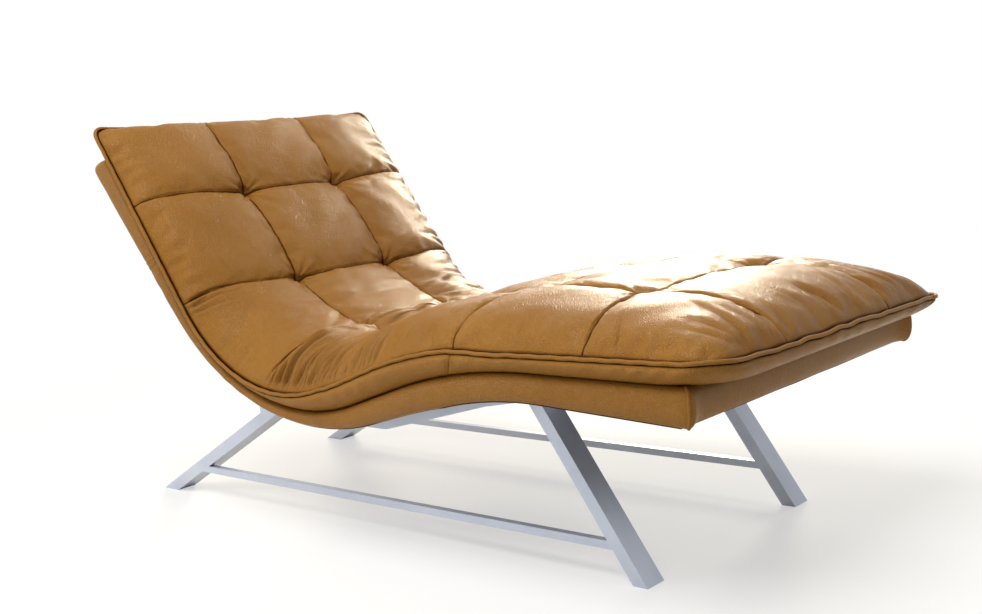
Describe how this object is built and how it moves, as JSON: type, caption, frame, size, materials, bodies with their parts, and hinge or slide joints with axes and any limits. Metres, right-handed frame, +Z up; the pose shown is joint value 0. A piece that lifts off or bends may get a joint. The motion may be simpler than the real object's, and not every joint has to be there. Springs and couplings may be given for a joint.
{
  "type": "wave_lounger",
  "caption": "Fixed wave lounger: tufted tan leather pad on an upholstered shell, carried by silver steel side frames",
  "frame": {"origin": "on the floor under the middle of the lounger's bounding box", "axes": "+X along the length to the foot end, +Y to the sitter's left, +Z up"},
  "size_m": [1.6215, 0.83, 0.867],
  "materials": {
    "leather": "tan brown, soft sheen, fine grain",
    "steel": "satin silver grey",
    "plug_plastic": "black",
    "zinc": "zinc plated",
    "wood": "raw laminated wood, hidden",
    "webbing": "elastic webbing, hidden",
    "foam": "open-cell foam, hidden",
    "cloth": "black lining cloth"
  },
  "bodies": {
    "root": {"back_panel": "leather", "dust_cover": "cloth", "foot_band": "leather", "foot_plugs": "plug_plastic", "foot_rail": "wood", "frame_bolts": "zinc", "front_leg_left": "steel", "front_leg_right": "steel", "front_rail": "wood", "head_band": "leather", "head_rail": "wood", "low_rail_left": "steel", "low_rail_right": "steel", "lower_back_rail": "wood", "pad_border_foot": "leather", "pad_border_head": "leather", "pad_border_left": "leather", "pad_border_right": "leather", "pad_piping": "leather", "pad_row_calf": "leather", "pad_row_foot": "leather", "pad_row_head": "leather", "pad_row_lower_back": "leather", "pad_row_seat": "leather", "pad_row_upper_back": "leather", "pad_underside": "cloth", "rail_caps": "plug_plastic", "rear_leg_left": "steel", "rear_leg_right": "steel", "row_baffles": "cloth", "seat_rail": "wood", "shell_foam": "foam", "shell_lining": "cloth", "side_band_left": "leather", "side_band_right": "leather", "side_member_left": "wood", "side_member_right": "wood", "threaded_inserts": "zinc", "top_rail_left": "steel", "top_rail_right": "steel", "upper_back_rail": "wood", "webbing": "webbing"}
  },
  "joints": []
}
